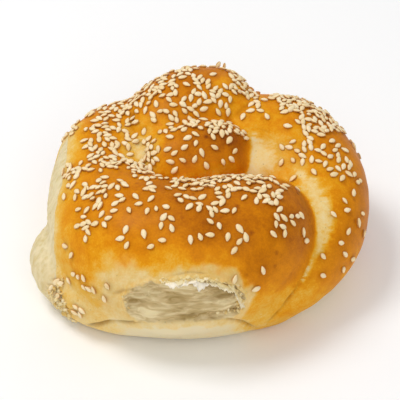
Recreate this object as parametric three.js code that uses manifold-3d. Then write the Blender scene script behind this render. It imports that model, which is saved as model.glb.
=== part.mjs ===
// A knotted sesame bun: one piece of dough, tied in a knot and baked, with sesame seeds on its crust.
// Millimetres, +Z up, the widest side along X. The origin is the middle of the flat foot.
import * as THREE from 'three';
import { mergeVertices } from 'three/addons/utils/BufferGeometryUtils.js';
import Module from 'manifold-3d';

// Faceting of the dough and of each seed
const DOUGH_SIDES = 40;
const DOUGH_STEPS = 48;
const SEED_SIDES = 8;
const SEED_STEPS = 5;

// The four visible turns of the knot. A station is x, y, z and the strand's radius there.
// A larger bluntness gives a strand squarer ends.
const FRONT_TURN = {
  bluntness: 6,
  stations: [
    [29, -11, 36.5, 14.5], [20, -22.5, 31, 21.5], [4, -31, 24.5, 24.6], [-15, -31, 24, 25],
    [-27, -20, 24.5, 22.5], [-31, -3, 25.5, 19], [-29.5, 11, 27.5, 18.2], [-21, 21, 28, 17], [-8, 29, 26, 15],
  ],
};
const OUTER_TURN = {
  bluntness: 10,
  stations: [
    [4, 11, 32, 12.5], [13, 14.5, 32.5, 16], [25, 17, 30, 18.5], [34, 11, 27, 18.5], [38, 0, 23, 18.5],
    [36.5, -15, 19.5, 17.5], [27.5, -29, 15, 15], [19, -36.5, 12, 10.5], [8, -42.4, 9, 7.4],
    [-14, -43.2, 8.8, 7.3], [-31, -35, 10, 12], [-43, -20, 12, 14.5], [-42, -7, 13, 13.5],
  ],
};
const BACK_TURN = {
  bluntness: 5,
  stations: [
    [-17, -6, 26, 10], [-18, 8, 30, 14], [-11, 18, 34.5, 17], [0, 24, 36, 18.5], [8, 24.5, 34, 17], [13, 23, 29, 12.5],
  ],
};
const KNOB = {
  bluntness: 3.2,
  stations: [[-19, -6, 34, 10], [-8, -1, 37, 12], [4, 2, 38, 12], [18.5, 3, 37.2, 11.3]],
};
// The dough that passes under the knob, and the dough under it all, risen together on the baking tray
const HEART = {
  bluntness: 2.2,
  stations: [[4, 5, 27.5, 12], [17, 5, 27.5, 13.5], [28, 2, 25, 14]],
};
const BASE_DOUGH = {
  bluntness: 3,
  flatness: 0.5,
  stations: [[-46, -5, 12, 36], [-20, -6, 12, 42], [20, -6, 12, 42], [46, -5, 12, 36]],
};
const TRAY_BLOCK = 300;

// Sesame seeds: hulled, drop-shaped and flat
const SEED_LENGTH = 3.2;
const SEED_WIDTH = 1.8;
const SEED_THICKNESS = 0.9;
const SEED_TAPER = 0.34;
const SEED_GAP = 0.3;
const SEED_COUNT = 59;

// Seeds fall on a golden-angle spiral over the crown, and stay where it is high and not too steep
const GOLDEN_ANGLE = Math.PI * (3 - Math.sqrt(5));
const SPRINKLE_PITCH = 4.6;
const SPRINKLE_TRIES = 160;
const LOWEST_SEED = 33;
const LEAST_UPWARD = 0.62;
const GROWN_SEED = 1.15;

const wasm = await Module();
wasm.setup();

const crust = new THREE.MeshStandardMaterial({ color: 0xc9812b, roughness: 0.45, metalness: 0 });
const seedHull = new THREE.MeshStandardMaterial({ color: 0xeadcb8, roughness: 0.5, metalness: 0 });

function solidFrom(geometry) {
  const bare = geometry.clone();
  bare.deleteAttribute('normal');
  bare.deleteAttribute('uv');
  const welded = mergeVertices(bare, 1e-4);
  const mesh = new wasm.Mesh({
    numProp: 3,
    vertProperties: new Float32Array(welded.attributes.position.array),
    triVerts: new Uint32Array(welded.index.array),
  });
  return new wasm.Manifold(mesh);
}

function geometryFrom(solid) {
  const mesh = solid.getMesh();
  const geometry = new THREE.BufferGeometry();
  geometry.setAttribute('position', new THREE.BufferAttribute(mesh.vertProperties, 3));
  geometry.setIndex(new THREE.BufferAttribute(mesh.triVerts, 1));
  geometry.computeVertexNormals();
  return geometry;
}

// A strand of dough: a sphere drawn out along a curve, as thick at each station as the station says
function strandGeometry({ stations, bluntness, flatness = 1 }) {
  const spine = new THREE.CatmullRomCurve3(stations.map(([x, y, z]) => new THREE.Vector3(x, y, z)));
  const girth = new THREE.SplineCurve(stations.map(([, , , radius], i) => new THREE.Vector2(i, radius)));
  const geometry = new THREE.SphereGeometry(1, DOUGH_SIDES, DOUGH_STEPS);
  const position = geometry.attributes.position;
  const up = new THREE.Vector3(0, 0, 1);
  const unit = new THREE.Vector3();
  for (let i = 0; i < position.count; i += 1) {
    unit.fromBufferAttribute(position, i);
    const along = THREE.MathUtils.clamp((1 - unit.y) / 2, 0, 1);
    const tangent = spine.getTangent(along);
    const side = up.clone().cross(tangent).normalize();
    const lift = tangent.clone().cross(side);
    const turn = Math.atan2(unit.z, unit.x);
    const rounding = Math.sqrt(Math.max(0, 1 - Math.abs(unit.y) ** bluntness));
    const radius = girth.getPoint(along).y * rounding;
    const point = spine.getPoint(along);
    point.addScaledVector(side, radius * Math.cos(turn));
    point.addScaledVector(lift, radius * flatness * Math.sin(turn));
    position.setXYZ(i, point.x, point.y, point.z);
  }
  return geometry;
}

// The tray that the bun bakes on, as a block below z = 0
function trayGeometry() {
  const geometry = new THREE.BoxGeometry(TRAY_BLOCK, TRAY_BLOCK, TRAY_BLOCK);
  geometry.translate(0, 0, -TRAY_BLOCK / 2);
  return geometry;
}

function makeBread() {
  const turns = [HEART, FRONT_TURN, OUTER_TURN, BACK_TURN, KNOB];
  let dough = solidFrom(strandGeometry(BASE_DOUGH));
  for (const turn of turns) {
    dough = dough.add(solidFrom(strandGeometry(turn)));
  }
  const bread = new THREE.Mesh(geometryFrom(dough.subtract(solidFrom(trayGeometry()))), crust);
  bread.name = 'bread';
  return bread;
}

// One seed, lying flat with its length along X and its narrow tip at +X
function seedGeometry() {
  const geometry = new THREE.SphereGeometry(0.5, SEED_SIDES, SEED_STEPS);
  geometry.rotateZ(-Math.PI / 2);
  const position = geometry.attributes.position;
  for (let i = 0; i < position.count; i += 1) {
    const along = position.getX(i);
    const taper = 1 - 2 * SEED_TAPER * Math.max(0, along);
    position.setXYZ(
      i,
      along * SEED_LENGTH,
      position.getY(i) * SEED_WIDTH * taper,
      position.getZ(i) * SEED_THICKNESS * taper,
    );
  }
  return geometry;
}

// Where a seed dropped from above comes to lie on the crust, or null where it would roll off
function restingPlace(bread, x, y) {
  const ray = new THREE.Raycaster(new THREE.Vector3(x, y, TRAY_BLOCK), new THREE.Vector3(0, 0, -1));
  const [hit] = ray.intersectObject(bread);
  if (!hit || hit.point.z < LOWEST_SEED || hit.face.normal.z < LEAST_UPWARD) {
    return null;
  }
  return { point: hit.point, normal: hit.face.normal };
}

function makeSeed(number, { point, normal }) {
  const seed = new THREE.Mesh(seedGeometry(), seedHull);
  seed.name = `sesame_seed_${String(number).padStart(2, '0')}`;
  const up = new THREE.Vector3(0, 0, 1);
  const spin = new THREE.Quaternion().setFromAxisAngle(up, 2 * number * GOLDEN_ANGLE);
  seed.quaternion.setFromUnitVectors(up, normal).multiply(spin);
  seed.position.copy(point).addScaledVector(normal, SEED_THICKNESS / 2 + SEED_GAP);
  seed.updateMatrix();
  return seed;
}

// True if the seed would still clear the dough if it were a little larger: in a crease it wouldn't
function clearsDough(dough, seed) {
  const grown = seed.geometry.clone();
  grown.scale(GROWN_SEED, GROWN_SEED, GROWN_SEED);
  grown.applyMatrix4(seed.matrix);
  return dough.intersect(solidFrom(grown)).isEmpty();
}

function sprinkleSeeds(bread) {
  const dough = solidFrom(bread.geometry);
  const seeds = [];
  for (let i = 0; i < SPRINKLE_TRIES && seeds.length < SEED_COUNT; i += 1) {
    const reach = SPRINKLE_PITCH * Math.sqrt(i + 0.5);
    const angle = i * GOLDEN_ANGLE;
    const place = restingPlace(bread, reach * Math.cos(angle), reach * Math.sin(angle));
    const seed = place && makeSeed(seeds.length + 1, place);
    if (seed && clearsDough(dough, seed)) {
      seeds.push(seed);
    }
  }
  return seeds;
}

const bun = new THREE.Group();
const bread = makeBread();
bun.add(bread, ...sprinkleSeeds(bread));

// Stand the middle of the bun's outline over the origin
const outline = new THREE.Box3().setFromObject(bun, true);
const middle = outline.getCenter(new THREE.Vector3());
bun.position.set(-middle.x, -middle.y, 0);

export default bun;
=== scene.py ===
# A knotted sesame bun, egg-glazed and baked, lying on a pale table top.
# Metres, in the row's frame. Sizes in the dictionaries are millimetres unless they say otherwise.
import bpy
import math
import random
import numpy as np
from mathutils import Euler, Matrix, Vector, noise
from mathutils.bvhtree import BVHTree
from mathutils.kdtree import KDTree


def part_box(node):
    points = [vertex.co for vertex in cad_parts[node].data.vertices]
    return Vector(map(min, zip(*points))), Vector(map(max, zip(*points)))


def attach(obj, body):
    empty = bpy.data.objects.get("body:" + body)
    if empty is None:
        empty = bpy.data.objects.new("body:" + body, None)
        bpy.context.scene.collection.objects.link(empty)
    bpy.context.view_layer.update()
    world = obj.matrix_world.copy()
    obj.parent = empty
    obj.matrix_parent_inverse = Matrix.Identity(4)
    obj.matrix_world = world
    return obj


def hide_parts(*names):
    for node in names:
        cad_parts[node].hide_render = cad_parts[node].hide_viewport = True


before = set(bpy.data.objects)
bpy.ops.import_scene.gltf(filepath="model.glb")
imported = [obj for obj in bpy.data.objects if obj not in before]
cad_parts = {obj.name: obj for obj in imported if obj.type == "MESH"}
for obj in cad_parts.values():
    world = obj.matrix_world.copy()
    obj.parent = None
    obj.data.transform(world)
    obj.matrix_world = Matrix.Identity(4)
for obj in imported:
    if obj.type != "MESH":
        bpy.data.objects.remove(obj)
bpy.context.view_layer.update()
mm = 0.001
breadLow, breadHigh = (np.array(corner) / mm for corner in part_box("bread"))
breadSpan = breadHigh - breadLow
seedNodes = sorted(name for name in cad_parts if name.startswith("sesame_seed"))
rng = random.Random(41)


def place(fx, fy, fz):  # a spot in the bread's box, by fractions from its left, front and foot
    return breadLow + np.array((fx, fy, fz)) * breadSpan


def fractions(points):  # the other way round, in three rows
    return ((points - breadLow) / breadSpan).T


# ---- camera, table and light

camera = {
    "elevation": 40.0,  # degrees above the table
    "distance": 0.560,  # metres
    "lens": 152.0,
    "lookAt": (0.499, 0.534, 0.441),  # fractions of the bread's box
}
studio = {
    "table": "#FFFFFF",
    "tableRoughness": 0.9,
    "tableSpecular": 0.1,
    "tableSize": 6.0,  # metres
    "skyStrength": 0.50,
    "lamps": [  # name, place in metres, size in metres, watts
        ("keyLamp", (-0.36, 0.06, 0.76), 0.30, 2.9),
        ("frontLamp", (0.15, -0.72, 0.58), 0.60, 1.75),
        ("rimLamp", (0.34, 0.60, 0.55), 0.50, 0.6),
    ],
}


def addObject(name, data):
    added = bpy.data.objects.new(name, data)
    bpy.context.collection.objects.link(added)
    return added


def makeCamera():
    target = Vector(place(*camera["lookAt"]) * mm)
    rise = math.radians(camera["elevation"])
    offset = Vector((0, -math.cos(rise), math.sin(rise))) * camera["distance"]
    data = bpy.data.cameras.new("camera")
    data.lens = camera["lens"]
    data.sensor_width = 36.0
    data.clip_start = 0.01
    body = addObject("camera", data)
    body.location = target + offset
    body.rotation_euler = (math.pi / 2 - rise, 0, 0)
    bpy.context.scene.camera = body


def toLinear(code):  # "#RRGGBB" in sRGB to linear RGBA
    channels = [int(code[i : i + 2], 16) / 255 for i in (1, 3, 5)]
    return (*[c / 12.92 if c <= 0.04045 else ((c + 0.055) / 1.055) ** 2.4 for c in channels], 1.0)


def addNode(tree, kind, output, settings=None, values=None, links=None, ramp=None):  # returns that output
    node = tree.nodes.new("ShaderNode" + kind)
    for name, value in (settings or {}).items():
        setattr(node, name, value)
    for name, value in (values or {}).items():
        node.inputs[name].default_value = value
    for name, source in (links or {}).items():
        tree.links.new(source, node.inputs[name])
    if ramp:
        elements = node.color_ramp.elements
        while len(elements) > 1:
            elements.remove(elements[-1])
        for i, (position, code) in enumerate(ramp):
            element = elements[0] if i == 0 else elements.new(position)
            element.position = position
            element.color = toLinear(code)
    return node.outputs[output]


def setFinish(shader, finish):
    for name, value in finish.items():
        shader.inputs[name].default_value = value


def newMaterial(name):
    material = bpy.data.materials.new(name)
    material.use_nodes = True
    tree = material.node_tree
    return material, tree, tree.nodes["Principled BSDF"]


def makeStudio():
    bpy.ops.object.select_all(action="DESELECT")
    bpy.ops.mesh.primitive_plane_add(size=studio["tableSize"], location=(0, 0, 0))
    table = bpy.context.object
    table.name = "tableTop"
    material, tree, shader = newMaterial("mattWhiteLaminate")
    setFinish(shader, {
        "Base Color": toLinear(studio["table"]),
        "Roughness": studio["tableRoughness"],
        "Specular IOR Level": studio["tableSpecular"],
    })
    table.data.materials.append(material)
    world = bpy.data.worlds.new("studioSky")
    world.use_nodes = True
    setFinish(world.node_tree.nodes["Background"], {"Strength": studio["skyStrength"], "Color": (1, 1, 1, 1)})
    bpy.context.scene.world = world
    bpy.context.scene.view_settings.view_transform = "Standard"
    for name, spot, size, watts in studio["lamps"]:
        data = bpy.data.lights.new(name, "AREA")
        data.size = size
        data.energy = watts
        lamp = addObject(name, data)
        lamp.location = spot
        lamp.rotation_euler = Vector(spot).to_track_quat("Z", "Y").to_euler()


# ---- the bread: its mesh

dough = {
    "voxel": 0.8,  # grid of the remeshed crust
    "facetRounds": 18,  # smoothing rounds that take the facets out of the strands
    "creaseRounds": 2,  # smoothing rounds that the creases between strands get too
    "lumpSize": 15.0,
    "lumpHeight": 0.9,
    "dimpleSize": 5.0,
    "dimpleHeight": 0.15,
    "creaseDepth": 0.9,
    "softening": 0.8,  # how far each round moves a point
    "creaseBend": (0.03, 0.14),  # per mm, where a crease starts and where it is fully one
    "shadeBend": (0.03, 0.16),
    "creaseKept": (0.1, 0.5),
    "fineRim": 2.5,  # finer faces reach this far round the tear
    "fineBits": 0.25,
    "footGap": 0.25,  # points lower than this lie on the table
    "fineCuts": 2,  # cuts in each edge where the crumb and the cracks need finer faces
}
# Folds and cracks: their line in the bread's box, how deep, and how wide to each side. Both ends fade.
folds = {
    "seamLeft": ([(0.15, 0.17, -0.02), (0.20, 0.12, 0.12), (0.28, 0.06, 0.25), (0.36, 0.01, 0.35)],
        1.8, 0.75),
    "seamMiddle": ([(0.36, 0.01, 0.35), (0.46, 0.00, 0.36), (0.58, 0.03, 0.33)], 0.9, 0.8),
    "seamRight": ([(0.55, 0.02, 0.35), (0.60, 0.06, 0.27), (0.65, 0.10, 0.13), (0.70, 0.15, -0.02)],
        1.3, 0.55),
    "outerCrack": ([(0.81, 0.22, 0.50), (0.78, 0.17, 0.40), (0.73, 0.12, 0.25), (0.68, 0.11, 0.13)],
        1.0, 0.5),
    "tornCrustEdge": ([(0.38, 0.03, 0.64), (0.50, 0.04, 0.67), (0.61, 0.05, 0.50)], 0.35, 0.35),
    "jawCrease": ([(0.19, 0.11, 0.36), (0.29, 0.04, 0.43)], 1.0, 0.7),
    "jawFold": ([(0.25, 0.06, 0.47), (0.31, 0.03, 0.56), (0.36, 0.03, 0.60)], 0.6, 0.7),
    "outerStartEdge": ([(0.68, 0.77, 0.88), (0.63, 0.73, 0.87), (0.60, 0.69, 0.83)], 0.6, 0.9),
    "outerStartFold": ([(0.65, 0.66, 0.82), (0.71, 0.64, 0.80)], 0.5, 0.5),
    "ridgeLeft": ([(0.30, 0.74, 0.86), (0.30, 0.67, 0.83), (0.31, 0.61, 0.78)], 1.3, 0.8),
    "ridgeRight": ([(0.34, 0.65, 0.85), (0.33, 0.60, 0.78)], 0.6, 0.7),
    "lipFold": ([(0.09, 0.22, 0.33), (0.10, 0.18, 0.24), (0.14, 0.15, 0.12)], 0.9, 0.6),
    "bulgeCrease": ([(0.02, 0.56, 0.36), (0.04, 0.43, 0.42), (0.08, 0.31, 0.51)], 0.8, 1.7),
}
# Places where the dough rose a little more or less: place in the bread's box, radius and height
swells = {
    "knotPouch": ((0.327, 0.59, 0.755), 3.6, 2.6),
    "ridgeTongue": ((0.315, 0.66, 0.83), 2.4, 0.9),
    "underStrip": ((0.42, 0.03, 0.25), 7.0, 0.5),
    "knobEnd": ((0.645, 0.56, 0.78), 5.5, -2.2),
    "leftBulge": ((0.03, 0.27, 0.30), 6.0, 0.6),
    "knobFront": ((0.51, 0.47, 0.75), 6.0, 0.8),
}
foldEnds = 0.25  # the share of a fold's length over which each end fades
deepFold = 1.5  # a fold this deep or deeper is fully shaded
foldReach = 2.2  # finer faces reach this many widths from a fold
kissing = {  # the left side, which rose against the next bun on the tray and was pulled off it
    "edge": [(0.11, 0.70, 0.70), (0.11, 0.55, 0.73), (0.09, 0.36, 0.67), (0.09, 0.24, 0.38),
             (0.13, 0.16, 0.11)],
    "outward": (-1.0, 0.0, -0.5),
    "back": 0.69,  # where it ends, as a fraction of the bread's depth
    "endWander": 12.0,
    "endFray": 0.9,
    "step": 0.7,
    "streakHeight": 0.10,
    "swellHeight": 0.55,
    "rim": 5.2,  # how far the crust round it stayed pale
}
tear = {  # where the bun was pulled off its neighbour in front: its outline by width and height
    "outline": [(0.29, 0.48), (0.34, 0.59), (0.42, 0.63), (0.51, 0.64), (0.59, 0.57), (0.62, 0.46),
                (0.59, 0.32), (0.46, 0.36), (0.33, 0.34)],
    "front": 0.2,  # it lies no further back than this
    "left": (0.31, 0.37),  # by width, where its left end passes into its middle
    "right": (0.33, 0.55),  # by width, where its wall turns steep
    "upper": (0.36, 0.56),  # by height, from its lower into its upper part
    "haloTurn": (0.27, 0.38),
    "middle": 0.45,
    "tilt": 0.20,
    "sway": 2.6,
    "depth": 2.2,
    "wall": (1.3, 3.5),  # how far in from the outline the full depth is reached, at the top and at the foot
    "fray": 1.0,
    "fibreHeight": 0.10,
    "layerHeight": 1.05,
    "hollows": [  # deeper and prouder spots: place by width and height, reach each way, depth
        ((0.56, 0.360), (5.5, 1.5), 0.8),
        ((0.315, 0.455), (2.8, 0.9), 0.9),
        ((0.45, 0.385), (4.0, 1.2), 0.5),
        ((0.355, 0.400), (3.2, 2.0), -0.8),
        ((0.57, 0.420), (3.0, 1.8), -0.7),
        ((0.40, 0.560), (4.0, 1.5), -0.4),
    ],
    "halo": (5.0, 13.0),  # how far the pale skin reaches on its right and on its left
    "haloFade": (0.40, 1.0),
    "lipHeight": 0.45,
    "lipWidth": 0.7,
    "farOutside": -50.0,  # the inset of a point that isn't on the front of the bun
}
bits = {  # crumbs that hang on where the left side tore
    "middle": (0.085, 0.20, 0.20),
    "reach": (4.0, 4.5, 7.0),
    "height": 0.9,
    "size": 1.7,
}


def smoothstep(low, high, values):
    t = np.clip((values - low) / (high - low), 0.0, 1.0)
    return t * t * (3 - 2 * t)


def meshPoints(obj):
    flat = np.empty(len(obj.data.vertices) * 3)
    obj.data.vertices.foreach_get("co", flat)
    return flat.reshape(-1, 3) / mm


def setPoints(obj, points):
    obj.data.vertices.foreach_set("co", (points * mm).ravel())
    obj.data.update()


def meshNormals(obj):
    flat = np.empty(len(obj.data.vertices) * 3)
    obj.data.vertex_normals.foreach_get("vector", flat)
    return flat.reshape(-1, 3)


def meshEdges(obj):
    flat = np.empty(len(obj.data.edges) * 2, np.int32)
    obj.data.edges.foreach_get("vertices", flat)
    return flat.reshape(-1, 2)


def neighbourMean(values, edges):  # the mean of each vertex's neighbours
    count = len(values)
    a, b = edges[:, 0], edges[:, 1]
    degree = np.bincount(a, minlength=count) + np.bincount(b, minlength=count)
    table = values.reshape(count, -1)
    total = np.stack(
        [np.bincount(a, c[b], count) + np.bincount(b, c[a], count) for c in table.T], axis=1
    )
    return (total / np.maximum(degree, 1)[:, None]).reshape(values.shape)


def relax(values, edges, rounds, share=dough["softening"]):  # share is a number, or one per vertex
    for _ in range(rounds):
        values = values + share * (neighbourMean(values, edges) - values)
    return values


def noiseAt(points, size, seed, stretch=(1, 1, 1)):  # size in mm; each pattern has a seed of its own
    scaled = points / (np.array(stretch) * size) + seed
    return np.array([noise.noise(Vector(p)) for p in scaled])


def activate(obj):
    bpy.ops.object.select_all(action="DESELECT")
    bpy.context.view_layer.objects.active = obj
    obj.select_set(True)


def editAll(operate, **settings):  # runs an operator on the whole of the active mesh
    bpy.ops.object.mode_set(mode="EDIT")
    bpy.ops.mesh.select_all(action="SELECT")
    operate(**settings)
    bpy.ops.object.mode_set(mode="OBJECT")


def applyModifier(obj, name, kind, settings):
    modifier = obj.modifiers.new(name, kind)
    for key, value in settings.items():
        setattr(modifier, key, value)
    bpy.ops.object.modifier_apply(modifier=name)


def remeshedDough():
    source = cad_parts["bread"]
    loaf = source.copy()
    loaf.data = source.data.copy()
    for key in list(loaf.keys()):
        del loaf[key]
    loaf.parent = None
    bpy.context.collection.objects.link(loaf)
    loaf.name = "crustAndCrumb"
    activate(loaf)
    editAll(bpy.ops.mesh.remove_doubles, threshold=1e-5)
    applyModifier(loaf, "evenGrid", "REMESH", {"mode": "VOXEL", "voxel_size": dough["voxel"] * mm})
    return loaf


def hollowness(points, normals, edges):  # above 0 in creases, below 0 on crests, per mm
    bend = ((neighbourMean(points, edges) - points) * normals).sum(1)
    return bend / dough["voxel"] ** 2


def softenStrands(loaf):  # facets out, creases kept; returns how much each vertex is in a crease
    edges = meshEdges(loaf)
    points = relax(meshPoints(loaf), edges, dough["creaseRounds"])
    setPoints(loaf, points)
    bend = relax(hollowness(points, meshNormals(loaf), edges), edges, 2)
    crease = relax(smoothstep(*dough["creaseBend"], bend), edges, 3)
    share = dough["softening"] * (1 - smoothstep(*dough["creaseKept"], crease))
    points = relax(points, edges, dough["facetRounds"], share[:, None])
    setPoints(loaf, points)
    bend = relax(hollowness(points, meshNormals(loaf), edges), edges, 2)
    return relax(smoothstep(*dough["shadeBend"], bend), edges, 2)


def softLine(corners, closed=False, cuts=3):  # a soft curve through the corners, as short straight pieces
    corners = np.array(corners, float)
    before, after = 2 * corners[:1] - corners[1:2], 2 * corners[-1:] - corners[-2:-1]
    if closed:
        before, after = corners[-1:], corners[:2]
    run = np.concatenate([before, corners, after])
    t = (np.arange(cuts) / cuts)[:, None]
    pieces = [
        b + 0.5 * ((c - a) * t + (2 * a - 5 * b + 4 * c - d) * t**2 + (3 * b - a - 3 * c + d) * t**3)
        for a, b, c, d in zip(run, run[1:], run[2:], run[3:])
    ]
    return np.concatenate(pieces if closed else pieces + [corners[-1:]])


def lineDistance(points, line):  # how far the line is, its nearest point, and how far along it that lies
    best = np.full(len(points), 1e9)
    nearest = np.zeros_like(points)
    travel = np.zeros(len(points))
    corners = softLine([place(*spot) for spot in line])
    lengths = [np.linalg.norm(end - start) for start, end in zip(corners[:-1], corners[1:])]
    passed = 0.0
    for start, end, length in zip(corners[:-1], corners[1:], lengths):
        along = end - start
        t = np.clip(((points - start) @ along) / length**2, 0, 1)
        spot = start + t[:, None] * along
        apart = np.linalg.norm(points - spot, axis=1)
        closer = apart < best
        best = np.where(closer, apart, best)
        nearest[closer] = spot[closer]
        travel[closer] = (passed + t[closer] * length) / sum(lengths)
        passed += length
    return best, nearest, travel


def tearInset(points):  # how far inside the torn patch each point is, in mm, and below 0 outside it
    outline = softLine([place(fx, 0, fz)[[0, 2]] for fx, fz in tear["outline"]], closed=True)
    flat = points[:, (0, 2)]
    inside = np.zeros(len(points), bool)
    apart = np.full(len(points), 1e9)
    for start, end in zip(outline, np.roll(outline, -1, axis=0)):
        along = end - start
        t = np.clip(((flat - start) @ along) / (along @ along), 0, 1)
        apart = np.minimum(apart, np.linalg.norm(flat - start - t[:, None] * along, axis=1))
        if abs(along[1]) > 1e-9:
            crossing = (start[1] > flat[:, 1]) != (end[1] > flat[:, 1])
            inside ^= crossing & (flat[:, 0] < start[0] + (flat[:, 1] - start[1]) / along[1] * along[0])
    inset = np.where(inside, apart, -apart)
    return np.where(fractions(points)[1] < tear["front"], inset, tear["farOutside"])


def bitsShare(points):
    away = (points - place(*bits["middle"])) / np.array(bits["reach"])
    return np.exp(-(away**2).sum(1))


def needsFineFaces(points):
    fine = tearInset(points) > -dough["fineRim"]
    fine |= bitsShare(points) > dough["fineBits"]
    for line, _, width in folds.values():
        fine |= lineDistance(points, line)[0] < foldReach * width
    return fine


def refine(loaf):  # finer faces where the crumb and the cracks show
    fine = needsFineFaces(meshPoints(loaf))
    bpy.ops.object.mode_set(mode="EDIT")
    bpy.ops.mesh.select_all(action="DESELECT")
    bpy.ops.object.mode_set(mode="OBJECT")
    for face in loaf.data.polygons:
        face.select = all(fine[v] for v in face.vertices)
    for edge in loaf.data.edges:
        edge.select = fine[edge.vertices[0]] and fine[edge.vertices[1]]
    loaf.data.vertices.foreach_set("select", fine)
    bpy.ops.object.mode_set(mode="EDIT")
    bpy.ops.mesh.subdivide(number_cuts=dough["fineCuts"], smoothness=0)
    bpy.ops.object.mode_set(mode="OBJECT")


def shapeLumps(points, normals, crease):
    lump = noiseAt(points, dough["lumpSize"], 1.3) * dough["lumpHeight"] * 0.5
    lump += noiseAt(points, dough["dimpleSize"], 4.4) * dough["dimpleHeight"]
    points = points + normals * (lump - dough["creaseDepth"] * crease)[:, None]
    for spot, radius, height in swells.values():
        share = np.exp(-((points - place(*spot)) ** 2).sum(1) / radius**2)
        outward = (normals * share[:, None]).sum(0)
        points = points + height * share[:, None] * outward / np.linalg.norm(outward)
    return points


def shapeFolds(points, normals):
    offset = np.zeros(len(points))
    shade = np.zeros(len(points))
    wander = noiseAt(points, 4.0, 14.0)
    for line, depth, width in folds.values():
        apart, _, travel = lineDistance(points, line)
        share = np.exp(-(((apart + wander * width * 0.5) / width) ** 2))
        share = share * smoothstep(0.0, foldEnds, travel) * smoothstep(0.0, foldEnds, 1 - travel)
        offset -= depth * (1 + 0.5 * wander) * share
        # painted shade: the deeper the fold, the darker the crust's colour is painted along it
        shade = np.maximum(shade, share * min(depth, deepFold) / deepFold)
    return points + normals * offset[:, None], shade


def kissingShare(points):  # the side that was pulled off the next bun, and the paler rim round it
    apart, nearest, _ = lineDistance(points, kissing["edge"])
    left = (points - nearest) @ np.array(kissing["outward"])
    left += noiseAt(points, 4.0, 52.0) * 0.6 + noiseAt(points, 1.2, 9.0) * 0.2
    ends = place(0, kissing["back"], 0)[1]
    ends = ends + noiseAt(points, 14.0, 71.0) * kissing["endWander"]
    ends = ends + noiseAt(points, 2.5, 73.0) * kissing["endFray"]
    share = smoothstep(0.0, 0.5, left) * smoothstep(0.0, 1.0, ends - points[:, 1])
    rim = smoothstep(-kissing["rim"], 0.0, left) * smoothstep(-kissing["rim"], 0.0, ends - points[:, 1])
    return share, rim, apart


def shapeKissingSide(points, normals):
    share, rim, apart = kissingShare(points)
    streaks = noiseAt(points, 1.3, 23.0, (1, 1, 2.5)) + 0.5 * noiseAt(points, 0.7, 29.0, (1, 1, 2.5))
    swelling = kissing["swellHeight"] * (noiseAt(points, 6.0, 83.0) + 0.5 * noiseAt(points, 2.6, 87.0))
    offset = share * (kissing["streakHeight"] * streaks + swelling - kissing["step"] * np.exp(-apart / 5.0))
    return points + normals * offset[:, None], share, rim


def shapeTear(points, normals):  # returns also what is crumb, the pale skin round it, and the crumb's painted shade, darker in its hollows
    inset = tearInset(points)
    inset += tear["fray"] * (noiseAt(points, 3.6, 3.7) + 0.5 * noiseAt(points, 1.3, 8.1))
    fx, _, fz = fractions(points)
    upper = smoothstep(*tear["upper"], fz)
    right = smoothstep(*tear["right"], fx)
    steep, easy = tear["wall"]
    inside = smoothstep(0.0, easy + (steep - easy) * np.maximum(upper, right), inset)
    depth = tear["depth"] * inside * (0.4 + 0.6 * upper)
    strands = points.copy()
    strands[:, 2] += tear["sway"] * noiseAt(points, 7.0, 5.5)
    strands[:, 2] += tear["tilt"] * (fx - tear["middle"]) * breadSpan[0]
    fibre = noiseAt(strands, 1.0, 11.0, (5.0, 1, 1)) + 0.8 * noiseAt(points, 1.1, 2.0, (1.6, 1, 1))
    layers = noiseAt(strands, 3.4, 17.0, (3.6, 1, 1)) + 0.38 * noiseAt(strands, 1.5, 19.0, (2.6, 1, 1))
    dents = np.zeros(len(points))
    for (middle, height), (wide, high), dent in tear["hollows"]:
        across = (fx - middle) * breadSpan[0] / wide
        up = (fz - height) * breadSpan[2] / high
        dents += dent * np.exp(-(across**2) - up**2)
    offset = inside * (tear["fibreHeight"] * fibre + tear["layerHeight"] * layers - dents) - depth
    # painted shade: the crumb is darker in its hollows and deeper spots and lighter on its raised layers
    crumbHollowShade = 0.5 + 0.45 * layers - 0.45 * dents
    left = 1 - smoothstep(*tear["left"], fx)
    rim = np.exp(-(((inset + 0.4) / tear["lipWidth"]) ** 2)) * np.maximum(upper, left)
    offset += tear["lipHeight"] * rim * (1 + noiseAt(points, 1.5, 21.0))
    near, far = tear["halo"]
    reach = far + (near - far) * smoothstep(*tear["haloTurn"], fx)
    halo = 1 - smoothstep(*tear["haloFade"], (noiseAt(points, 3.0, 27.0) * 2.5 - inset) / reach)
    return points + normals * offset[:, None], smoothstep(-0.25, 0.5, inset), halo, crumbHollowShade


def shapeBits(points, normals):
    share = bitsShare(points)
    lumps = 0.55 - np.abs(noiseAt(points, bits["size"], 33.0)) * 2.2
    lumps += 0.35 * noiseAt(points, 0.8, 37.0)
    return points + normals * (bits["height"] * share * lumps)[:, None], share


def makeTree(obj):
    return BVHTree.FromPolygons(
        [v.co for v in obj.data.vertices], [tuple(f.vertices) for f in obj.data.polygons]
    )


def onCrust(tree, point):  # the nearest place on it to a point in mm, and which way it faces
    hit, normal, _, _ = tree.find_nearest(Vector(point * mm))
    return hit, normal


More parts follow.
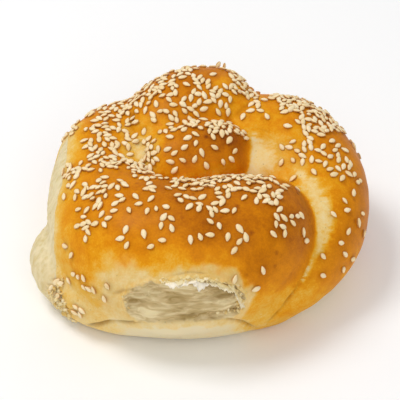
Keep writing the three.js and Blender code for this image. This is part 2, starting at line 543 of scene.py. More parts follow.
def makeBread():
    loaf = remeshedDough()
    crease = softenStrands(loaf)
    setPoints(loaf, shapeLumps(meshPoints(loaf), meshNormals(loaf), crease))
    skin = makeTree(loaf)
    print("bread: strands softened,", len(loaf.data.vertices), "vertices")
    # painted shade, darker in the creases between the strands
    layer = loaf.data.attributes.new("shade", "FLOAT", "POINT")
    layer.data.foreach_set("value", crease)
    refine(loaf)
    layers = {}
    steps = [
        (shapeFolds, ["fold"]),
        (shapeKissingSide, ["contact", "rim"]),
        (shapeBits, ["bits"]),
        (shapeTear, ["crumb", "halo", "crumbHollowShade"]),
    ]
    for shape, names in steps:
        points, *values = shape(meshPoints(loaf), meshNormals(loaf))
        layers.update(zip(names, values))
        setPoints(loaf, points)
    points[:, 2] = np.where(points[:, 2] < dough["footGap"], 0.0, points[:, 2])
    setPoints(loaf, points)
    loaf.data.shade_smooth()
    print("bread: folds and torn sides shaped,", len(loaf.data.polygons), "faces")
    return loaf, skin, layers


# ---- the bread: how far each place is baked, and its finish

# How far the crust is baked at places round the bread: 0 is raw cream, 0.5 gold and 1 dark brown.
# Between them it changes softly. Each is a place in the bread's box, and how far it is baked.
bakeMarks = {
    "frontCrownLeft": (0.36, 0.17, 0.86, 0.60),
    "frontCrown": (0.47, 0.24, 0.89, 0.72),
    "frontCrownRight": (0.65, 0.25, 0.88, 0.70),
    "frontBrow": (0.50, 0.12, 0.82, 0.80),
    "frontBrowRight": (0.64, 0.11, 0.74, 0.70),
    "frontBrowLeft": (0.30, 0.14, 0.80, 0.55),
    "frontShoulder": (0.18, 0.24, 0.78, 0.50),
    "frontRightEnd": (0.75, 0.25, 0.78, 0.74),
    "frontRightSide": (0.78, 0.24, 0.62, 0.68),
    "frontRightFlank": (0.79, 0.30, 0.66, 0.76),
    "frontCheekLeft": (0.18, 0.13, 0.60, 0.47),
    "frontCheek": (0.38, 0.06, 0.72, 0.47),
    "frontCheekMiddle": (0.50, 0.05, 0.71, 0.42),
    "frontCheekRight": (0.69, 0.10, 0.62, 0.62),
    "frontJaw": (0.28, 0.05, 0.57, 0.24),
    "frontJawLeft": (0.19, 0.13, 0.42, 0.28),
    "frontChinLeft": (0.19, 0.13, 0.27, 0.12),
    "frontAboveTear": (0.42, 0.03, 0.68, 0.22),
    "frontAboveTearRight": (0.58, 0.04, 0.66, 0.40),
    "frontChinRight": (0.68, 0.08, 0.39, 0.36),
    "frontLowRight": (0.66, 0.10, 0.22, 0.26),
    "underStrip": (0.39, 0.02, 0.26, -0.04),
    "underStripRight": (0.55, 0.05, 0.20, 0.0),
    "leftEdgeFront": (0.13, 0.20, 0.60, 0.34),
    "leftEdge": (0.12, 0.45, 0.74, 0.30),
    "leftEdgeBack": (0.12, 0.64, 0.73, 0.14),
    "leftCrest": (0.19, 0.65, 0.82, 0.56),
    "leftArm": (0.21, 0.46, 0.82, 0.56),
    "leftRear": (0.18, 0.84, 0.70, 0.56),
    "knotPouch": (0.325, 0.576, 0.745, 0.06),
    "ridgeTongue": (0.312, 0.64, 0.81, 0.36),
    "ridgeTop": (0.312, 0.70, 0.85, 0.50),
    "knobCorner": (0.43, 0.49, 0.86, 0.72),
    "knobTop": (0.50, 0.60, 0.91, 0.62),
    "knobBrow": (0.49, 0.505, 0.865, 0.80),
    "knobBrowRight": (0.55, 0.52, 0.865, 0.80),
    "knobTip": (0.580, 0.547, 0.874, 1.05),
    "knobEnd": (0.618, 0.54, 0.815, 0.80),
    # The knob's lower front is painted paler than it is baked: partly its own gold, partly a painted light
    # that lifts the shade the front crest casts there.
    "knobFront": (0.50, 0.465, 0.775, 0.36),
    "knobFoot": (0.48, 0.45, 0.72, 0.20),
    "knobFrontRight": (0.57, 0.485, 0.765, 0.36),
    "knobFrontLeft": (0.42, 0.46, 0.78, 0.34),
    "knobFootRight": (0.57, 0.48, 0.71, 0.24),
    "knobLeft": (0.37, 0.56, 0.84, 0.42),
    "besideKnob": (0.67, 0.59, 0.74, 0.10),
    "besideKnobFar": (0.74, 0.60, 0.74, 0.32),
    "outerStart": (0.64, 0.71, 0.86, 0.44),
    "outerStartInside": (0.665, 0.69, 0.85, 0.42),
    "outerCrown": (0.75, 0.72, 0.87, 0.55),
    "outerInside": (0.76, 0.64, 0.80, 0.44),
    "outerMiddle": (0.84, 0.52, 0.75, 0.42),
    "outerBridge": (0.717, 0.56, 0.70, 0.32),
    "outerCrest": (0.90, 0.60, 0.72, 0.56),
    "outerSide": (0.91, 0.38, 0.61, 0.50),
    "outerFlank": (0.95, 0.33, 0.45, 0.62),
    "outerFront": (0.85, 0.22, 0.43, 0.50),
    "outerFrontLow": (0.78, 0.15, 0.26, 0.36),
    "outerLow": (0.93, 0.30, 0.24, 0.46),
    "backCrown": (0.47, 0.82, 1.00, 0.66),
    "backBrow": (0.50, 0.71, 0.95, 0.54),
    "backFoot": (0.54, 0.68, 0.88, 0.50),
    "backRight": (0.61, 0.75, 0.91, 0.42),
    "backLeft": (0.35, 0.73, 0.92, 0.52),
    "rearHigh": (0.50, 0.97, 0.78, 0.66),
    "rearLeft": (0.25, 0.95, 0.55, 0.55),
    "rearRight": (0.78, 0.93, 0.60, 0.62),
    "rearSide": (0.98, 0.60, 0.45, 0.64),
    "rearLow": (0.50, 0.97, 0.40, 0.42),
    "rearLowLeft": (0.10, 0.75, 0.35, 0.34),
    "rearLowRight": (0.85, 0.85, 0.30, 0.40),
    "footFront": (0.50, 0.08, 0.05, 0.0),
    "footLeft": (0.10, 0.40, 0.05, 0.05),
    "footRight": (0.85, 0.30, 0.05, 0.12),
    "footRear": (0.50, 0.85, 0.05, 0.10),
}
painting = {
    "reach": 5.5,  # how far a mark's colour spreads, mm
    "cornering": 4.5,  # how much less it spreads onto crust that faces another way
    "wander": 2.5,  # how far the edges of the marks stray, mm
    "contact": 0.05,  # how far the pale side, the skin round the tear, the rim and the crumbs are baked
    "halo": 0.19,
    "rim": 0.20,
    "bits": 0.20,
    "bitsSpread": 1.5,
    "bitsCover": 1.6,
    "haloShare": 0.85,
    "haloContact": 0.35,  # how much of the pale side's skin shows round the tear
    "contactShare": 0.9,
    "contactUnshaded": 0.7,  # how much less the pale side darkens in its creases
}
# Dough stretched as the knot opened, which the glaze and the oven's heat missed: pale on one side of a crease
stretched = {
    "outerInnerSide": {
        "line": [(0.78, 0.50, 0.71), (0.83, 0.41, 0.69), (0.84, 0.29, 0.58), (0.79, 0.17, 0.41)],
        "widths": [0.3, 1.05, 1.2, 0.85, 0.2],
        "reach": (0.6, 6.6),  # full strength up to the first, none beyond the second, in mm times the width
        "bake": 0.15,
        "facing": (-0.6, -0.35, 0.72),
        "turn": (0.25, 0.50),
    },
    "besideKnob": {
        "line": [(0.64, 0.62, 0.79), (0.65, 0.57, 0.75), (0.65, 0.52, 0.69)],
        "widths": [0.35, 1.0, 0.8],
        "reach": (4.5, 10.5),
        "bake": 0.12,
        "facing": (-0.9, -0.3, 0.5),
        "turn": (0.08, 0.25),
    },
    "knotPouch": {
        "line": [(0.32, 0.60, 0.77), (0.34, 0.55, 0.75)],
        "widths": [0.8, 1.0],
        "reach": (1.6, 4.2),
        "bake": 0.15,
        "facing": (0.0, 0.0, 1.0),
        "turn": (-1.2, -1.1),
    },
}

crust = {  # egg-washed wheat crust: a thin glaze over baked starch, brown where the oven reached it
    "ramp": [
        (0.00, "#E9D9B2"),
        (0.12, "#ECCF8C"),
        (0.25, "#E8B548"),
        (0.38, "#E69D14"),
        (0.50, "#DC8805"),
        (0.62, "#CD7A03"),
        (0.74, "#BC6B04"),
        (0.87, "#A35606"),
        (1.00, "#7A3A06"),
    ],
    "roughness": (0.1, 0.6, 0.65, 0.42),  # from pale crust to brown, and how rough each is
    "patterns": {  # size in mm, detail, and how far it shifts the browning
        "cloud": (9.0, 3.0, 0.36),
        "mottle": (2.6, 4.0, 0.30),
        "grain": (0.6, 2.0, 0.26),
    },
    "patternRoughness": 0.6,
    "uneven": (0.0, 0.35, 0.4, 1.0),  # from pale crust to gold, and how much of the patterns shows
    "blisterSpacing": 5.5,
    "blister": (0.04, 0.20, 0.30, 0.0),  # from a blister's middle to its edge, and how much further it browns
    "poreSpacing": 2.9,
    "pore": (0.03, 0.10, 1.0, 0.0),  # from a pore's middle to its edge
    "poresShow": (0.20, 0.45, 0.45, 0.0),  # from pale crust to gold
    "poreColour": "#8A6A34",
    # painted shade: creases, folds and the crust round each seed are darkened by multiplying in this colour
    "paintedShadeColour": "#6E5228",
    "paintedShadeStrength": 0.55,
    "creaseShadeShare": 0.3,  # how much of that the creases between the strands get
    "relief": {"mottle": (0.35, 0.10), "grain": (0.30, 0.05)},  # strength, and depth in mm
    "finish": {
        "IOR": 1.45,  # dried egg glaze
        "Specular IOR Level": 0.10,
        "Subsurface Weight": 0.08,
        "Subsurface Radius": (1.0, 0.5, 0.2),
        "Subsurface Scale": 1.5 * mm,
    },
}
contactFinish = {  # the side that baked against the next bun: soft pale skin, drawn into upright streaks
    "ramp": [(0.34, "#D6BF86"), (0.47, "#DFCEA1"), (0.60, "#E9D9B1")],
    "stretch": (1.0, 1.0, 0.40),
    "size": 2.6,
    "noise": {"Detail": 6.0, "Roughness": 0.62},
    "relief": 0.10,
}
crumbFinish = {  # torn crumb: matt and fibrous, the fibres lying across
    "ramp": [(0.45, "#A98F5A"), (0.68, "#CAB180"), (0.95, "#E8D6A8")],
    # how much of the crumb's painted hollow shade shows in its colour
    "crumbHollowShadeShare": 0.45,
    "stretch": (0.22, 1.0, 1.0),
    "size": 1.3,
    "noise": {"Detail": 4.0, "Roughness": 0.5, "Distortion": 0.8},
    "relief": 0.20,
    "roughness": 0.9,
}


def paintBake(points, normals, tree):
    wander = np.stack([noiseAt(points, 7.0, s) for s in (31.0, 47.0, 63.0)], axis=1)
    moved = points + wander * painting["wander"] * 2
    total = np.full(len(points), 1e-5)
    bake = total * 0.5
    for *spot, level in bakeMarks.values():
        centre = place(*spot)
        _, normal = onCrust(tree, centre)
        away = ((moved - centre) ** 2).sum(1) / (2 * painting["reach"] ** 2)
        turned = (1 - normals @ np.array(normal)) * painting["cornering"]
        share = np.exp(-away - turned)
        total += share
        bake += share * level
    bake /= total
    for patch in stretched.values():
        apart, _, travel = lineDistance(points, patch["line"])
        width = np.interp(travel, np.linspace(0, 1, len(patch["widths"])), patch["widths"])
        streaks = noiseAt(points, 0.6, 77.0, (6.0, 1.2, 1)) * 2.2 + noiseAt(points, 3.0, 79.0) * 1.6
        facing = np.array(patch["facing"]) / np.linalg.norm(patch["facing"])
        share = 1 - smoothstep(*patch["reach"], (apart + streaks) / width)
        share = share * smoothstep(*patch["turn"], normals @ facing)
        bake += (patch["bake"] - bake) * share
    return bake


def keepLayer(obj, name, values):
    layer = obj.data.attributes.get(name) or obj.data.attributes.new(name, "FLOAT", "POINT")
    layer.data.foreach_set("value", np.asarray(values, np.float32))


def readLayer(obj, name):
    values = np.empty(len(obj.data.vertices), np.float32)
    obj.data.attributes[name].data.foreach_get("value", values)
    return values


def crustMaterial():
    material, tree, shader = newMaterial("eggGlazedCrust")
    spot = addNode(tree, "TexCoord", "Object")
    layers = {
        name: addNode(tree, "Attribute", "Fac", {"attribute_name": name})
        for name in ("bake", "crumb", "crumbHollowShade", "contact", "shade")
    }
    patterns = {}
    for name, (size, detail, _) in crust["patterns"].items():
        values = {"Scale": 1 / (size * mm), "Detail": detail, "Roughness": crust["patternRoughness"]}
        patterns[name] = addNode(tree, "TexNoise", "Fac", None, values, {"Vector": spot})
    blisters, pores = [
        addNode(tree, "TexVoronoi", "Distance", None, {"Scale": 1 / (crust[spacing] * mm)}, {"Vector": spot})
        for spacing in ("blisterSpacing", "poreSpacing")
    ]
    strands = {}
    for name, finish in (("contact", contactFinish), ("crumb", crumbFinish)):
        drawn = addNode(tree, "Mapping", "Vector", None, {"Scale": finish["stretch"]}, {"Vector": spot})
        values = {"Scale": 1 / (finish["size"] * mm), **finish["noise"]}
        strands[name] = addNode(tree, "TexNoise", "Fac", None, values, {"Vector": drawn})
    limits = ("From Min", "From Max", "To Min", "To Max")
    ranges = {
        name: addNode(tree, "MapRange", "Result", None, dict(zip(limits, crust[name])), {"Value": source})
        for name, source in (
            ("blister", blisters),
            ("uneven", layers["bake"]),
            ("pore", pores),
            ("poresShow", layers["bake"]),
        )
    }
    multiplyAdd = {"operation": "MULTIPLY_ADD"}
    links = {0: layers["bake"], 1: ranges["blister"], 2: layers["bake"]}
    level = addNode(tree, "Math", 0, multiplyAdd, links=links)
    for name, (_, _, weight) in crust["patterns"].items():
        shift = addNode(tree, "Math", 0, multiplyAdd, {1: weight, 2: -weight / 2}, {0: patterns[name]})
        level = addNode(tree, "Math", 0, multiplyAdd, links={0: shift, 1: ranges["uneven"], 2: level})
    values, links = {1: crumbFinish["crumbHollowShadeShare"]}, {0: layers["crumbHollowShade"], 2: strands["crumb"]}
    crumbLevel = addNode(tree, "Math", 0, multiplyAdd, values, links)
    colour, contactColour, crumbColour = [
        addNode(tree, "ValToRGB", "Color", links={"Fac": source}, ramp=finish["ramp"])
        for source, finish in ((level, crust), (strands["contact"], contactFinish), (crumbLevel, crumbFinish))
    ]
    blend = {"data_type": "RGBA"}
    for share, over in ((layers["contact"], contactColour), (layers["crumb"], crumbColour)):
        colour = addNode(tree, "Mix", 2, blend, links={0: share, 6: colour, 7: over})
    links = {0: ranges["pore"], 1: ranges["poresShow"]}
    pitted = addNode(tree, "Math", 0, {"operation": "MULTIPLY"}, links=links)
    colour = addNode(tree, "Mix", 2, blend, {7: toLinear(crust["poreColour"])}, {0: pitted, 6: colour})
    # the painted shade of creases, folds and seeds is multiplied into the colour
    values, links = {7: toLinear(crust["paintedShadeColour"])}, {0: layers["shade"], 6: colour}
    colour = addNode(tree, "Mix", 2, {**blend, "blend_type": "MULTIPLY"}, values, links)
    tree.links.new(colour, shader.inputs["Base Color"])
    rough = addNode(tree, "MapRange", "Result", None, dict(zip(limits, crust["roughness"])), {"Value": level})
    links = {0: layers["contact"], 1: layers["crumb"]}
    matt = addNode(tree, "Math", 0, {"operation": "MAXIMUM"}, links=links)
    values, links = {3: crumbFinish["roughness"]}, {0: matt, 2: rough}
    rough = addNode(tree, "Mix", 0, {"data_type": "FLOAT"}, values, links)
    tree.links.new(rough, shader.inputs["Roughness"])
    relief = None
    reliefs = [(patterns[name], *crust["relief"][name]) for name in ("mottle", "grain")]
    reliefs.append((strands["crumb"], layers["crumb"], crumbFinish["relief"]))
    reliefs.append((strands["contact"], layers["contact"], contactFinish["relief"]))
    for height, strength, depth in reliefs:
        values, links = {"Distance": depth * mm}, {"Height": height}
        if isinstance(strength, float):
            values["Strength"] = strength
        else:
            links["Strength"] = strength
        if relief:
            links["Normal"] = relief
        relief = addNode(tree, "Bump", "Normal", None, values, links)
    tree.links.new(relief, shader.inputs["Normal"])
    setFinish(shader, crust["finish"])
    return material


def finishBread(loaf, skin, layers):
    normals = relax(meshNormals(loaf), meshEdges(loaf), 2)
    bake = paintBake(meshPoints(loaf), normals, skin)
    bake += (painting["rim"] - bake) * layers["rim"]
    bake += (painting["bits"] - bake) * np.clip(layers["bits"] * painting["bitsSpread"], 0, 1)
    bake += (painting["halo"] - bake) * layers["halo"] * painting["haloShare"]
    bake += (painting["contact"] - bake) * layers["contact"]
    # painted shade: creases and folds are darkened, less on the crumb and on the pale side
    shade = np.clip(crust["creaseShadeShare"] * readLayer(loaf, "shade") + layers["fold"], 0, 1)
    shade = shade * crust["paintedShadeStrength"] * (1 - layers["crumb"])
    shade *= 1 - painting["contactUnshaded"] * layers["contact"]
    matt = layers["contact"] * (1 - np.clip(layers["bits"] * painting["bitsCover"], 0, 1))
    matt *= painting["contactShare"]
    contact = np.maximum(matt, painting["haloContact"] * layers["halo"] ** 2)
    for name, values in (("shade", shade), ("bake", bake), ("contact", contact)):
        keepLayer(loaf, name, values)
    for name in ("crumb", "crumbHollowShade"):
        keepLayer(loaf, name, layers[name])
    loaf.data.materials.clear()
    loaf.data.materials.append(crustMaterial())
    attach(loaf, "root")
    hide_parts("bread")
    print("bread: painted")


# ---- the papery skin over the tear, and loose crumbs

flap = {  # thin strips of torn skin that hang on along the top of the tear
    "path": [(0.39, 0.64), (0.43, 0.65), (0.49, 0.66), (0.54, 0.63), (0.59, 0.56), (0.62, 0.43)],
    "span": 32,  # about the path's length in mm
    "step": 0.22,
    "rows": 6,
    "wave": 2.2,
    "jag": 0.8,
    "shotFrom": -100.0,  # well in front of the bun
    "tuck": -0.3,  # the top edge lies this far under the crust
    "thickness": 0.16,
    "strips": {  # start and end along the path, how far down, how wide, how proud, how curled, tint
        "crustLip": (0.02, 0.72, -0.5, 0.9, 0.10, 0.4, 0.22),
        "skinLeft": (0.00, 0.52, 0.1, 1.5, 0.15, 0.5, 0.45),
        "skinRight": (0.44, 0.90, 0.0, 1.3, 0.20, 0.5, 0.35),
        "whiteFlakes": (0.08, 0.40, 1.1, 1.3, 0.30, 0.8, 0.85),
        "whiteTongue": (0.36, 0.53, 1.3, 2.0, 0.40, 0.7, 0.90),
        "innerSkin": (0.50, 0.80, 1.0, 0.9, 0.25, 0.6, 0.60),
        "rightFray": (0.74, 0.99, -0.6, 2.2, 0.05, 0.5, 0.45),
        "lowFlakes": (0.80, 1.00, 0.8, 1.6, 0.25, 0.9, 0.60),
    },
}
crumbs = {
    "stray": 0.7,
    "sizes": (0.5, 1.25),
    "tints": (0.2, 0.65),
    "lumps": 0.45,  # size of the lumps on a crumb, as a share of its width
    "lumpHeight": 0.9,
    "proportions": (1.3, 1.0, 0.7),
    "rise": 0.22,  # how much of its size a crumb's middle stands above the crust
    "tableGap": 0.02,
    "piles": [  # place in the bread's box, spread, how many, size
        ((0.605, 0.05, 0.45), (0.9, 0.5, 2.6), 20, 1.1),
        ((0.57, 0.04, 0.37), (2.4, 0.6, 1.0), 9, 1.0),
        ((0.585, 0.04, 0.56), (1.6, 0.5, 1.0), 8, 0.8),
        ((0.30, 0.02, 0.45), (0.8, 0.6, 2.2), 6, 0.7),
        ((0.090, 0.19, 0.24), (2.2, 2.4, 4.4), 34, 1.2),
        ((0.105, 0.17, 0.14), (2.0, 1.8, 2.8), 18, 1.1),
        ((0.125, 0.16, 0.05), (1.6, 1.2, 1.0), 6, 1.0),
    ],
}
flakeFinish = {  # flakes of dry skin and crumb: matt, fluffy and cream, browner at their edges
    "ramp": [(0.0, "#C9963E"), (0.2, "#E2BE6E"), (0.5, "#EFDCA6"), (1.0, "#F8EEDA")],
    "fluff": 0.7,
    "fluffShare": 0.7,
    "bump": {"Strength": 0.5, "Distance": 0.15 * mm},
    "finish": {"Roughness": 0.85, "Specular IOR Level": 0.2},
}


def flakeMaterial():
    material, tree, shader = newMaterial("dryCrumbFlakes")
    tint = addNode(tree, "Attribute", "Fac", {"attribute_name": "tint"})
    spot = addNode(tree, "TexCoord", "Object")
    values = {"Scale": 1 / (flakeFinish["fluff"] * mm), "Detail": 4.0}
    fluff = addNode(tree, "TexNoise", "Fac", None, values, {"Vector": spot})
    share = flakeFinish["fluffShare"]
    level = addNode(tree, "Math", 0, {"operation": "MULTIPLY_ADD"}, {1: share}, {0: fluff, 2: tint})
    level = addNode(tree, "Math", 0, {"operation": "SUBTRACT"}, {1: share / 2}, {0: level})
    colour = addNode(tree, "ValToRGB", "Color", links={"Fac": level}, ramp=flakeFinish["ramp"])
    tree.links.new(colour, shader.inputs["Base Color"])
    bump = addNode(tree, "Bump", "Normal", None, flakeFinish["bump"], {"Height": fluff})
    tree.links.new(bump, shader.inputs["Normal"])
    setFinish(shader, flakeFinish["finish"])
    return material


def takeShape():  # the points in metres and the faces of the mesh just added, which is removed
    source = bpy.context.object
    points = meshPoints(source) * mm
    faces = [tuple(face.vertices) for face in source.data.polygons]
    bpy.data.objects.remove(source)
    return points, faces


def addPiece(name, parts, material):  # a part is its points in mm, its faces, and a tint for each point
    points, faces, tints = [], [], []
    for partPoints, partFaces, partTints in parts:
        base = len(points)
        points += list(partPoints)
        tints += list(partTints)
        faces += [tuple(base + v for v in face) for face in partFaces]
    mesh = bpy.data.meshes.new(name)
    mesh.from_pydata((np.array(points) * mm).tolist(), [], faces)
    mesh.shade_smooth()
    piece = addObject(name, mesh)
    keepLayer(piece, "tint", tints)
    mesh.materials.append(material)
    return piece


def along(path, share):  # a point part of the way along a path of places by width and height
    reach = share * (len(path) - 1)
    i = min(int(reach), len(path) - 2)
    start, end = np.array(path[i]), np.array(path[i + 1])
    return start + (end - start) * (reach - i)


def hangStrip(skin, strip, seed):  # one strip of torn skin, as a grid of points, faces and tints
    first, last, drop, width, lift, curl, tint = strip
    reach = (last - first) * flap["span"]
    columns, rows = int(reach / flap["step"]), flap["rows"] + 1
    points, tints = [], []
    for i in range(columns + 1):
        share = i / columns
        fx, fz = along(flap["path"], first + (last - first) * share)
        edge = place(fx, 0, fz)
        wave = noise.noise(Vector((i * flap["step"] / flap["wave"], seed, 0)))
        jag = noise.noise(Vector((i * flap["step"] / flap["jag"], seed, 5)))
        jag += 0.5 * noise.noise(Vector((i / 1.7, seed, 9)))
        ends = min(1.0, 4 * share, 4 * (1 - share)) ** 0.6
        top = edge[2] - drop + 0.5 * wave
        hang = width * max(0.12, (1 + 0.6 * wave + 0.8 * jag) * ends)
        for row in range(rows):
            down = row / flap["rows"]
            ripple = 0.3 * noise.noise(Vector((edge[0] / 1.1, (top - hang * down) / 1.1, seed + 5)))
            start = Vector((edge[0], flap["shotFrom"], top - hang * down)) * mm
            hit, normal, _, _ = skin.ray_cast(start, Vector((0, 1, 0)))
            rise = lift + curl * down**1.5 * (1 + wave) + ripple
            rise = flap["tuck"] if row == 0 else rise
            points.append(np.array(hit) / mm + np.array(normal) * rise)
            tints.append(tint + 0.15 * down + 0.5 * ripple)
    faces = [
        (i * rows + j, i * rows + j + 1, (i + 1) * rows + j + 1, (i + 1) * rows + j)
        for i in range(columns)
        for j in range(rows - 1)
    ]
    return points, faces, tints


def makeFlap(skin, material):
    parts = [hangStrip(skin, strip, 3.3 + 10 * i) for i, strip in enumerate(flap["strips"].values())]
    piece = addPiece("paperyFlap", parts, material)
    activate(piece)
    applyModifier(piece, "skinThickness", "SOLIDIFY", {"thickness": flap["thickness"] * mm, "offset": 0.0})
    editAll(bpy.ops.mesh.normals_make_consistent, inside=False)
    piece.data.shade_smooth()
    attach(piece, "root")
    print("torn skin hung over the tear")


def stray(spread):
    return np.array([rng.gauss(0, spread) for _ in range(3)])


def makeCrumbs(tree, material):
    bpy.ops.object.select_all(action="DESELECT")
    bpy.ops.mesh.primitive_ico_sphere_add(subdivisions=2, radius=0.5)
    shape, faces = takeShape()
    parts = []
    for spot, spread, count, size in crumbs["piles"]:
        for _ in range(count):
            hit, normal = onCrust(tree, place(*spot) + stray(crumbs["stray"]) * spread)
            bulk = size * rng.uniform(*crumbs["sizes"])
            seed = rng.uniform(0, 90)
            turn = np.array(Euler([rng.uniform(0, 6.3) for _ in range(3)]).to_matrix())
            rough = 1 + crumbs["lumpHeight"] * noiseAt(shape, crumbs["lumps"], seed)
            body = shape * rough[:, None] * np.array(crumbs["proportions"]) * bulk
            centre = np.array(hit) / mm + np.array(normal) * bulk * crumbs["rise"]
            placed = body @ turn.T + centre
            placed[:, 2] = np.maximum(placed[:, 2], crumbs["tableGap"])
            parts.append((placed, faces, [rng.uniform(*crumbs["tints"])] * len(shape)))
    piece = addPiece("looseCrumbs", parts, material)
    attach(piece, "root")
    print("loose crumbs scattered")


# ---- the sesame seeds

seedShape = {
    "length": 3.0,
    "width": 1.85,
    "thickness": 1.05,
    "sides": 8,
    "rings": 6,
    "taper": 0.5,  # how much the pointed end draws in
    "spread": 0.08,  # how much sizes vary
    "sink": 0.30,  # how much of its thickness a seed's middle stands above the crust
    "pileGap": 1.9,  # seeds closer than this ride up on each other
    "pileLift": 0.7,
    "seedShadow": 0.3,  # how much darker the crust is painted round each seed, a painted shadow
    "seedShadowReach": 1.5,
    "steepest": -0.05,  # the least upward a crust may face to hold a seed
    "clearOfTear": 0.5,
    "stray": 0.75,  # how far clusters stray within a pinch
    "clusterSpread": (0.55, 0.75),  # of a single seed's place, and added as clusters grow
    "lengths": (0.9, 1.05),
    "thicknesses": (0.85, 1.1),
    "tints": (0.45, 0.75),
    "tries": 40,  # for each seed of a pinch
    "flatSway": 0.10,  # how unevenly seeds lie alone, and how much more in a pile
    "pileSway": 0.5,
    "edgeLean": (math.pi / 2, 0.9, 0),
    "edgeRise": 0.3,  # how much of its length a seed on edge stands up
    "alone": 9.0,  # the gap given to a seed with no near neighbour
}
onEdge = -1.0  # the gap given to a seed that stands on edge
# Where the baker's pinches of seed landed: place in the bread's box, how far they scattered, how many seeds,
# how many to a cluster, and the closest two may lie
sprinkles = {
    "frontSeeds": [
        ((0.31, 0.28, 0.86), (15, 5, 6), 31, 3, 1.6),
        ((0.50, 0.26, 0.88), (14, 5, 6), 26, 3, 1.7),
        ((0.42, 0.19, 0.84), (20, 4, 5), 18, 2, 2.3),
        ((0.64, 0.29, 0.88), (9, 5, 5), 27, 3, 1.5),
        ((0.71, 0.22, 0.79), (6, 6, 6), 14, 2, 2.0),
        ((0.45, 0.13, 0.79), (19, 3, 4), 12, 1, 3.0),
        ((0.20, 0.24, 0.77), (6, 6, 6), 14, 3, 1.6),
        ((0.18, 0.13, 0.47), (7, 3, 2), 8, 2, 1.9),
        ((0.13, 0.18, 0.50), (2, 3, 6), 3, 1, 4.0),
        ((0.16, 0.13, 0.17), (3, 2, 1), 4, 2, 1.8),
        ((0.62, 0.05, 0.62), (10, 3, 6), 3, 1, 5.0),
    ],
    "leftSeeds": [
        ((0.215, 0.66, 0.83), (8, 10, 5), 72, 4, 1.4),
        ((0.20, 0.47, 0.80), (9, 7, 5), 44, 3, 1.5),
        ((0.32, 0.49, 0.79), (4, 5, 4), 34, 4, 1.3),
        ((0.19, 0.84, 0.68), (9, 8, 10), 40, 3, 1.7),
        ((0.10, 0.19, 0.24), (1.5, 2, 5), 4, 1, 1.6),
    ],
    "knobSeeds": [
        ((0.46, 0.61, 0.90), (10, 2.5, 3), 29, 3, 1.4),
        ((0.58, 0.61, 0.89), (4, 3, 3), 14, 3, 1.5),
        ((0.49, 0.50, 0.82), (10, 4, 5), 15, 1, 2.6),
    ],
    "creaseSeeds": [
        ((0.40, 0.37, 0.84), (7, 1.5, 2), 18, 3, 1.2),
        ((0.52, 0.36, 0.83), (7, 1.5, 2), 20, 3, 1.2),
        ((0.63, 0.37, 0.84), (4, 2, 2), 12, 3, 1.3),
    ],
    "backSeeds": [
        ((0.37, 0.78, 0.93), (6, 7, 6), 32, 3, 1.5),
        ((0.51, 0.80, 0.97), (9, 7, 4), 30, 3, 1.4),
        ((0.62, 0.82, 0.93), (5, 6, 6), 26, 3, 1.4),
        ((0.55, 0.74, 0.93), (5, 3, 4), 12, 2, 1.8),
        ((0.43, 0.71, 0.91), (9, 3, 6), 16, 3, 1.8),
        ((0.52, 0.95, 0.76), (15, 6, 10), 40, 3, 1.9),
    ],
    "outerSeeds": [
        ((0.77, 0.80, 0.84), (9, 6, 6), 54, 4, 1.4),
        ((0.86, 0.70, 0.78), (8, 6, 6), 54, 4, 1.4),
        ((0.91, 0.56, 0.71), (5, 7, 6), 18, 3, 1.8),
        ((0.94, 0.40, 0.60), (5, 7, 8), 8, 1, 3.0),
        ((0.93, 0.28, 0.42), (5, 6, 9), 6, 1, 4.2),
        ((0.765, 0.59, 0.78), (2.5, 2, 2), 3, 2, 2.2),
        ((0.795, 0.55, 0.755), (3, 3, 2), 4, 2, 2.2),
        ((0.66, 0.73, 0.87), (4, 2, 2), 6, 2, 2.0),
        ((0.86, 0.54, 0.75), (4, 4, 3), 6, 2, 2.2),
        ((0.80, 0.90, 0.58), (13, 6, 11), 40, 3, 2.0),
    ],
}
uprightSeeds = [(0.555, 0.93, 0.97), (0.575, 0.92, 0.96)]  # stuck on edge in the glaze of the back turn
sesame = {  # hulled sesame seed: waxy and pale, tan along its rim where the oven caught it
    "ramp": [(0.0, "#A5642A"), (0.3, "#DCAD6A"), (0.6, "#F2D8A5"), (1.0, "#FAE9C5")],
    "rim": 0.68,
    "grain": 0.9,
    "grainShare": 0.3,
    "finish": {
        "IOR": 1.47,  # sesame oil
        "Specular IOR Level": 0.3,
        "Roughness": 0.45,
        "Subsurface Weight": 0.1,
        "Subsurface Radius": (1.0, 0.7, 0.4),
        "Subsurface Scale": 0.5 * mm,
    },
}


def seedPrototype():  # lies flat, its length along X and its point at +X
    bpy.ops.object.select_all(action="DESELECT")
    sides, rings = seedShape["sides"], seedShape["rings"]
    bpy.ops.mesh.primitive_uv_sphere_add(segments=sides, ring_count=rings, radius=0.5)
    editAll(bpy.ops.transform.rotate, value=math.pi / 2, orient_axis="Y", center_override=(0, 0, 0))
    points, faces = takeShape()
    rim = 1 - np.abs(points[:, 2]) * 2
    taper = 1 - seedShape["taper"] * np.clip(points[:, 0] * 2, 0, 1) ** 1.2
    points[:, 0] *= seedShape["length"]
    points[:, 1] *= seedShape["width"] * taper
    points[:, 2] *= seedShape["thickness"] * taper
    return points, faces, rim


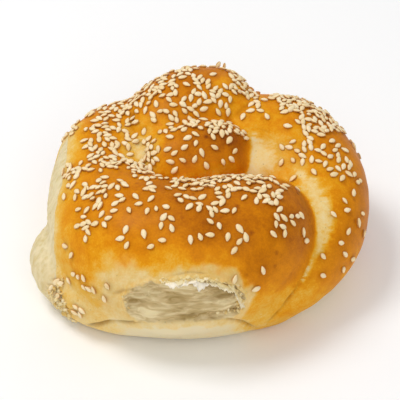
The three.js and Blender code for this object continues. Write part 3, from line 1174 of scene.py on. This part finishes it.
def layDown(tree, pinch, taken):  # finds resting places for the seeds of one pinch
    spot, scatter, count, cluster, spacing = pinch
    found = []
    centre = place(*spot)
    single, more = seedShape["clusterSpread"]
    for attempt in range(count * seedShape["tries"]):
        if len(found) >= count:
            break
        if attempt % (cluster * 2) == 0:
            middle = centre + stray(seedShape["stray"]) * scatter
        step = stray(1.0) * (single + more * (cluster - 1) ** 0.5)
        hit, normal = onCrust(tree, middle + step)
        inset = tearInset(np.array([hit]) / mm)[0]
        if normal.z < seedShape["steepest"] or inset > -seedShape["clearOfTear"]:
            continue
        nearest = min(((hit - other).length for other in taken), default=1.0)
        if nearest < spacing * mm:
            continue
        taken.append(hit)
        found.append((hit, normal, nearest / mm))
    return found


def sesameMaterial():
    material, tree, shader = newMaterial("hulledSesame")
    tint = addNode(tree, "Attribute", "Fac", {"attribute_name": "tint"})
    spot = addNode(tree, "TexCoord", "Object")
    values = {"Scale": 1 / (sesame["grain"] * mm), "Detail": 2.0}
    grain = addNode(tree, "TexNoise", "Fac", None, values, {"Vector": spot})
    values, links = {1: sesame["grainShare"]}, {0: grain, 2: tint}
    level = addNode(tree, "Math", 0, {"operation": "MULTIPLY_ADD"}, values, links)
    colour = addNode(tree, "ValToRGB", "Color", links={"Fac": level}, ramp=sesame["ramp"])
    tree.links.new(colour, shader.inputs["Base Color"])
    setFinish(shader, sesame["finish"])
    return material


def seedPiece(name, places, prototype, material):
    shape, faces, rim = prototype
    parts = []
    for hit, normal, nearest in places:
        size = 1 + rng.gauss(0, seedShape["spread"])
        piled = max(0.0, 1 - nearest / seedShape["pileGap"])
        sway = seedShape["flatSway"] + seedShape["pileSway"] * piled
        lean = Euler((rng.gauss(0, sway), rng.gauss(0, sway), 0)).to_matrix()
        turn = Matrix.Rotation(rng.uniform(0, 2 * math.pi), 3, "Z")
        if nearest == onEdge:
            lean = Euler(seedShape["edgeLean"]).to_matrix()
        stand = normal.to_track_quat("Z", "Y").to_matrix()
        pose = np.array(stand @ turn @ lean)
        rise = seedShape["thickness"] * (seedShape["sink"] + seedShape["pileLift"] * min(piled * 2, 1))
        if nearest == onEdge:
            rise = seedShape["length"] * seedShape["edgeRise"]
        sits = np.array(hit) / mm + np.array(normal) * rise
        length, thickness = (rng.uniform(*seedShape[spread]) for spread in ("lengths", "thicknesses"))
        body = shape * np.array((size * length, size, thickness))
        tints = rng.uniform(*seedShape["tints"]) - sesame["rim"] * rim**3
        parts.append((body @ pose.T + sits, faces, tints))
    piece = addPiece(name, parts, material)
    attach(piece, "root")
    return piece


def paintShadowRoundSeeds(loaf, seedSpots):
    near = KDTree(len(seedSpots))
    for i, spot in enumerate(seedSpots):
        near.insert(spot, i)
    near.balance()
    apart = np.array([near.find(vertex.co)[2] for vertex in loaf.data.vertices]) / mm
    shade = readLayer(loaf, "shade")
    # painted shadow round each seed, added into the shade layer that darkens the crust
    seedShadow = seedShape["seedShadow"] * np.exp(-((apart / seedShape["seedShadowReach"]) ** 2))
    keepLayer(loaf, "shade", shade + seedShadow * (1 - shade))


def makeSeeds(loaf, tree):
    prototype = seedPrototype()
    material = sesameMaterial()
    taken = []
    standing = []  # the CAD's own seeds, each laid on the finished crust
    for node in seedNodes:
        low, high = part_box(node)
        hit, normal, _, _ = tree.find_nearest((low + high) / 2)
        taken.append(hit)
        standing.append((node, hit, normal))
    centres = {name: Vector(place(*pinches[0][0]) * mm) for name, pinches in sprinkles.items()}
    total = 0
    for name, pinches in sprinkles.items():
        own = [s for s in standing if min(centres, key=lambda n: (centres[n] - s[1]).length) == name]
        places = [(hit, normal, seedShape["alone"]) for _, hit, normal in own]
        if name == "backSeeds":
            for spot in uprightSeeds:
                places.append((*onCrust(tree, place(*spot)), onEdge))
        for number, pinch in enumerate(pinches):
            rng.seed(f"{name} {number}")
            places += layDown(tree, pinch, taken)
        piece = seedPiece(name, places, prototype, material)
        if own:
            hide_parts(*[node for node, _, _ in own])
        total += len(places)
    paintShadowRoundSeeds(loaf, taken)
    print("seeds:", total, "laid")


makeCamera()
makeStudio()
print("studio ready")
loaf, skin, layers = makeBread()
finishBread(loaf, skin, layers)
flakes = flakeMaterial()
makeFlap(skin, flakes)
tree = makeTree(loaf)
makeCrumbs(tree, flakes)
makeSeeds(loaf, tree)
